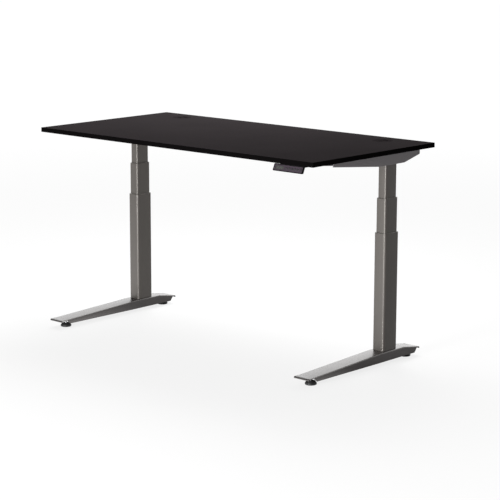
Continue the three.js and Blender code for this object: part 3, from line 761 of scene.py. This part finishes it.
LEAD_RADIUS = {"motor": 0.003, "handset": 0.002}
thick, thin = LEAD_RADIUS["motor"], LEAD_RADIUS["handset"]
for side, sign in SIDES:
    route = [(sign * x, y, z) for x, y, z in MOTOR_LEAD]
    add_piece(f"motor_lead_{side}", lead(route, thick), lead_jacket, "top_frame", "cable_jacket",
              f"motor_cable_{side}")
    boots = [put(boot(thick, 0.014), turn(90 * sign, "Y"), at(sign * 0.1302, -0.014, 0.837)),
             put(boot(thick, 0.0055), turn(90, "X"), at(sign * 0.703, 0.0078, 0.837))]
    add_piece(f"motor_lead_boots_{side}", gather(boots), black_plastic, "top_frame", "black_plastic")
    hooks = [hook(sign * x, -0.014, 0.834, thick, 90) for x in (0.520, 0.280)]
    add_piece(f"motor_lead_hooks_{side}", gather(hooks), black_plastic, "top_frame", "black_plastic")
add_piece("handset_lead", lead(HANDSET_LEAD, thin), lead_jacket, "top_frame", "cable_jacket",
          "handset_cable")
boots = [put(boot(thin, 0.011), turn(90, "X"), at(0.090, -0.0602, 0.849)),
         put(boot(thin, 0.009), turn(-90, "X"), at(0.605, -0.3098, 0.851))]
add_piece("handset_lead_boots", gather(boots), black_plastic, "top_frame", "black_plastic")
hooks = [hook(x, y, 0.852, thin, 106) for x, y in ((0.480, -0.230), (0.240, -0.160))]
add_piece("handset_lead_hooks", gather(hooks), black_plastic, "top_frame", "black_plastic")

# ------------------------------------------------------------------- handset
# A moulded case with a wide rim round the face and a slimmer body behind it, screwed
# under the front edge of the desktop by two ears. The face leans back by 24 degrees.
handset_plastic = surface("handset_case_plastic", (0.0070, 0.0065, 0.0070), 0.5, 0, (60, 0.12),
                          (1300, 0.00003), Specular_IOR_Level=0.1)
low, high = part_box("handset_case")
TILT = 24
FACE = {"width": 0.147, "height": 0.0295, "rim": 0.008, "front": -0.381}
BODY = {"width": 0.100, "start": 0.007, "back": -0.310, "chin": -0.349, "drop": 0.011, "rise": 0.003}
lean = FACE["height"] * math.sin(math.radians(TILT))
centre_x = (low.x + high.x) / 2
on_face = at(centre_x, FACE["front"] - lean, low.z) @ turn(-TILT, "X") @ at(0, 0, FACE["height"] / 2)


def face_block(x, width, height, near, far, corner, steps=6):
    """A rounded block in the face, between two depths behind it."""
    shape = slab(Vector((x - width / 2, -height / 2, -far)), Vector((x + width / 2, height / 2, -near)),
                 corner, steps)
    return put(shape, turn(90, "X"), on_face)


def prism_along_x(outline, half_width, x):
    """A solid with the same [y, z] outline all along X."""
    shape = bmesh.new()
    shape.faces.new([shape.verts.new((x - half_width, y, z)) for y, z in outline])
    moved = bmesh.ops.extrude_face_region(shape, geom=shape.faces[:])["geom"]
    ends = [item for item in moved if isinstance(item, bmesh.types.BMVert)]
    bmesh.ops.translate(shape, vec=(2 * half_width, 0, 0), verts=ends)
    bmesh.ops.recalc_face_normals(shape, faces=shape.faces)
    return shape


front, foot_y = FACE["front"], FACE["front"] - lean
rim = combine("INTERSECT", prism_along_x(
    [(front + FACE["rim"], high.z), (front, high.z), (foot_y, low.z), (foot_y + FACE["rim"], low.z)],
    FACE["width"] / 2, centre_x), face_block(0, FACE["width"], FACE["height"], -0.001, 0.024, 0.004))


def body_shape(start, shrink=0):
    """The slimmer part behind the rim, or its hollow where it is shrunk by a wall."""
    back, top, sole = BODY["back"] - shrink, high.z - shrink, underside - BODY["drop"] + shrink
    outline = [(back, top), (front + start, top), (foot_y + start, low.z + BODY["rise"] + shrink),
               (BODY["chin"], sole), (back, sole)]
    return prism_along_x(outline, BODY["width"] / 2 - shrink, centre_x)


body = body_shape(BODY["start"])
fold(body, [edge for edge in body.edges if not along(edge, 0)], 0.003, 4)
EAR = {"reach": 0.018, "depth": 0.024, "y": -0.330, "thickness": 0.003}
ears = []
for _, sign in SIDES:
    inner, outer = sorted((sign * (BODY["width"] / 2 - 0.002), sign * (BODY["width"] / 2 + EAR["reach"])))
    ears.append(slab(
        Vector((centre_x + inner, EAR["y"] - EAR["depth"] / 2, high.z - EAR["thickness"])),
        Vector((centre_x + outer, EAR["y"] + EAR["depth"] / 2, high.z)), 0.005, 6))
PANEL = {"width": 0.139, "height": 0.022, "thickness": 0.003, "corner": 0.003}
seat = face_block(0, PANEL["width"] + 2 * CLEARANCE, PANEL["height"] + 2 * CLEARANCE, -0.002,
                  PANEL["thickness"] + CLEARANCE, PANEL["corner"] + CLEARANCE)
pocket = face_block(0, PANEL["width"] - 0.002, PANEL["height"] - 0.004, 0,
                    PANEL["thickness"] + 0.002, 0.002)
whole = combine("UNION", rim, body, *ears)
case = add_piece("handset_housing", carve(whole, body_shape(0.0048, 0.0024), seat, pocket),
                 handset_plastic, "top_frame", "black_plastic", "handset_case")
soften(case, 0.0005)
ear_middle = BODY["width"] / 2 + EAR["reach"] / 2
screws = [put(screw_head(0.004, 0.0024, 0.0016), turn(180, "X"),
              at(centre_x + sign * ear_middle, EAR["y"], high.z - EAR["thickness"]))
          for _, sign in SIDES]
add_piece("handset_screws", gather(screws), black_zinc, "top_frame", "bare_steel")

# ------------------------------------------------- handset face and display
# A gloss black panel snaps into the rim. The display behind its smoked window shows the
# height in centimetres on three digits, here switched off.
gloss_panel = surface("gloss_black_panel", (0.056, 0.043, 0.056), 0.22, 0, (30, 0.05), (1500, 0.000002),
                      Coat_Weight=0.5, Coat_Roughness=0.1)
smoked_window = surface("smoked_window", (0.060, 0.060, 0.057), 0.16, 0, (50, 0.05), (1200, 0.000002),
                        Coat_Weight=0.5, Coat_Roughness=0.06)
segment_grey = surface("unlit_segments", (0.092, 0.097, 0.092), 0.4, 0, (300, 0.05), (1500, 0.000002))
BUTTON = {"cap": 0.0042, "flange": 0.0052, "proud": 0.001, "length": 0.0051}
BUTTON_ROW = {"first": -0.010, "pitch": 0.0144}
BUTTON_NAMES = ("down", "up", "one", "two", "three", "memory")
WINDOW = {"x": -0.043, "width": 0.042, "height": 0.014, "sink": 0.0004, "thickness": 0.0022}
button_places = {name: BUTTON_ROW["first"] + index * BUTTON_ROW["pitch"]
                 for index, name in enumerate(BUTTON_NAMES)}
openings = [face_block(WINDOW["x"], WINDOW["width"], WINDOW["height"], -0.002, 0.006, 0.002)]
openings += [put(disc(BUTTON["cap"] + 0.0004, -0.006, 0.002, 40), at(x, 0, 0), turn(90, "X"), on_face)
             for x in button_places.values()]
panel = face_block(0, PANEL["width"], PANEL["height"], 0, PANEL["thickness"], PANEL["corner"])
panel = add_piece("handset_panel", carve(panel, *openings), gloss_panel, "top_frame", "handset_panel",
                  "handset_face")
soften(panel, 0.0003)
pane = face_block(WINDOW["x"], WINDOW["width"] - 0.0006, WINDOW["height"] - 0.0006, WINDOW["sink"],
                  WINDOW["sink"] + WINDOW["thickness"], 0.0017)
pane = add_piece("display_pane", pane, smoked_window, "top_frame", "display", "display_window")
soften(pane, 0.0002)
DIGIT = {"width": 0.0048, "height": 0.0090, "bar": 0.0010, "pitch": 0.0095}
bars = []
for index in (-1, 0, 1):
    middle = WINDOW["x"] + index * DIGIT["pitch"]
    half, rise = DIGIT["width"] / 2, DIGIT["height"] / 2
    strokes = [(0, up * rise, DIGIT["width"] - 0.0014, DIGIT["bar"]) for up in (-1, 0, 1)]
    strokes += [(across * half, up * rise / 2, DIGIT["bar"], rise - 0.0012)
                for across in (-1, 1) for up in (-1, 1)]
    for x, y, width, height in strokes:
        bar = slab(Vector((middle + x - width / 2, y - height / 2, -WINDOW["sink"] - 0.0001)),
                   Vector((middle + x + width / 2, y + height / 2, -WINDOW["sink"] + 0.00005)))
        bars.append(put(bar, turn(90, "X"), on_face))
add_piece("display_segments", gather(bars), segment_grey, "top_frame", "display")

# ------------------------------------------------------------ handset buttons
# Six round keys stand a millimetre proud of the panel: down, up, three stored heights
# and a memory key. Each is a moulded cap with a flange behind the panel.
key_rubber = surface("key_rubber", (0.020, 0.019, 0.021), 0.45, 0, (80, 0.1), (1500, 0.00002))
key_print = surface("key_print", (0.13, 0.125, 0.13), 0.5, 0, (90, 0.05), (1500, 0.000004))
PRINT_DEPTH = 0.00008


def arrow(direction):
    """A flat triangle that points up or down the face."""
    shape = bmesh.new()
    bmesh.ops.create_cone(shape, cap_ends=True, segments=3, radius1=0.0019, radius2=0.0019,
                          depth=PRINT_DEPTH, matrix=turn(90 - 90 * direction, "Z"))
    return shape


def numeral(text):
    """A printed digit, centred."""
    curve = bpy.data.curves.new("numeral", "FONT")
    curve.body = text
    curve.size = 0.0046
    curve.extrude = PRINT_DEPTH / 2
    curve.align_x, curve.align_y = "CENTER", "CENTER"
    return from_curve(curve, 1e-7)


def ring_mark(inner, outer):
    """A printed ring, centred."""
    half = PRINT_DEPTH / 2
    return turned([(inner, -half), (outer, -half), (outer, half), (inner, half), (inner, -half)], 32)


marks = {"down": arrow(-1), "up": arrow(1), "one": numeral("1"), "two": numeral("2"),
         "three": numeral("3"), "memory": ring_mark(0.0012, 0.0018)}
for name, x in button_places.items():
    cap, flange, proud, length = BUTTON.values()
    back, end = -PANEL["thickness"] - CLEARANCE, proud - length
    key = turned([(0, end), (flange, end), (flange, back), (cap, back), (cap, proud - 0.0004),
                  (cap - 0.0004, proud), (0.0030, proud - 0.00005), (0, proud - 0.0001)], 40)
    add_piece(f"key_{name}", put(key, at(x, 0, 0), turn(90, "X"), on_face), key_rubber,
              f"button_{name}", "button_rubber", f"button_{name}")
    mark = put(marks[name], at(x, 0, proud - PRINT_DEPTH), turn(90, "X"), on_face)
    add_piece(f"key_mark_{name}", mark, key_print, f"button_{name}", "button_rubber")

# ------------------------------------------------------------------- studio
# A floor that throws more light back in front of the desk than behind it, lights overhead
# and low in front, and a room that is bright only at the back. To the camera both are pale.
FLOOR_GREY = 0.18


def extent(tree, place, direction):
    """How far a point or a ray lies in a direction."""
    dot = tree.nodes.new("ShaderNodeVectorMath")
    dot.operation = "DOT_PRODUCT"
    dot.inputs[1].default_value = direction
    tree.links.new(place, dot.inputs[0])
    return dot.outputs["Value"]


def unseen(tree, thrown):
    """A level that lights the desk; the camera sees what goes into B instead."""
    path = tree.nodes.new("ShaderNodeLightPath")
    level = tree.nodes.new("ShaderNodeMix")
    tree.links.new(path.outputs["Is Camera Ray"], level.inputs["Factor"])
    tree.links.new(thrown, level.inputs["A"])
    return level


floor = bpy.data.objects.new("floor", bpy.data.meshes.new("floor"))
ground = bmesh.new()
bmesh.ops.create_grid(ground, x_segments=1, y_segments=1, size=60)
ground.to_mesh(floor.data)
ground.free()
bpy.context.scene.collection.objects.link(floor)
white = bpy.data.materials.new("white_floor")
white.use_nodes = True
floor.data.materials.append(white)
tree = white.node_tree
paper = tree.nodes["Principled BSDF"]
paper.inputs["Base Color"].default_value = (FLOOR_GREY, FLOOR_GREY, FLOOR_GREY, 1)
paper.inputs["Roughness"].default_value = 1
paper.inputs["Specular IOR Level"].default_value = 0
paper.inputs["Emission Color"].default_value = (1, 1, 1, 1)
place = tree.nodes.new("ShaderNodeTexCoord").outputs["Object"]
distance = tree.nodes.new("ShaderNodeVectorMath")
distance.operation = "LENGTH"
tree.links.new(place, distance.inputs[0])
seen = stretched(tree, distance.outputs["Value"], From_Min=1, From_Max=7, To_Min=0.81, To_Max=0.95)
ahead = stretched(tree, extent(tree, place, (-0.15, -0.99, 0)), From_Min=-0.1, From_Max=3)
thrown = tree.nodes.new("ShaderNodeValToRGB")
ramp = thrown.color_ramp.elements
ramp[0].color, ramp[1].color = (0.17, 0.17, 0.17, 1), (0.55, 0.55, 0.55, 1)
for stop, bright in ((0.13, 1.2), (0.45, 0.9)):
    ramp.new(stop).color = (bright, bright, bright, 1)
tree.links.new(ahead, thrown.inputs["Fac"])
level = unseen(tree, thrown.outputs["Color"])
tree.links.new(seen, level.inputs["B"])
tree.links.new(level.outputs["Result"], paper.inputs["Emission Strength"])

room = bpy.data.worlds.new("room")
bpy.context.scene.world = room
room.use_nodes = True
tree = room.node_tree
ray = tree.nodes.new("ShaderNodeTexCoord").outputs["Generated"]
behind = extent(tree, ray, Vector((-0.25, 0.96, 0.1)).normalized())
glow = stretched(tree, behind, From_Min=0.2, To_Min=0.1, To_Max=1.7)
glow.node.interpolation_type = "SMOOTHSTEP"
level = unseen(tree, glow)
level.inputs["B"].default_value = 1
sky = tree.nodes["Background"]
sky.inputs["Color"].default_value = (1, 1, 1, 1)
tree.links.new(level.outputs["Result"], sky.inputs["Strength"])


def add_light(name, place, target, size, power):
    """A rectangular light at a place, turned towards a target."""
    lamp = bpy.data.lights.new(name, "AREA")
    lamp.shape = "RECTANGLE"
    lamp.size, lamp.size_y = size
    lamp.energy = power
    light = bpy.data.objects.new(name, lamp)
    light.location = place
    light.rotation_euler = (Vector(target) - Vector(place)).to_track_quat("-Z", "Y").to_euler()
    bpy.context.scene.collection.objects.link(light)


add_light("overhead", (-0.75, 0.9, 2.5), (-0.3, 0, 0.8), (1.4, 1.2), 62)
add_light("front", (0.8, -4.8, 0.8), (0, 0, 0.4), (1.0, 1.2), 240)
bpy.context.scene.view_settings.view_transform = "Standard"

lens = bpy.data.cameras.new("camera")
lens.sensor_width = 36
lens.lens = 127.357
camera = bpy.data.objects.new("camera", lens)
camera.matrix_world = (at(4.959685, -5.370701, 1.838888) @ turn(42.127, "Z")
                       @ turn(90 - 11.215, "X") @ turn(0.128, "Z"))
bpy.context.scene.collection.objects.link(camera)
bpy.context.scene.camera = camera
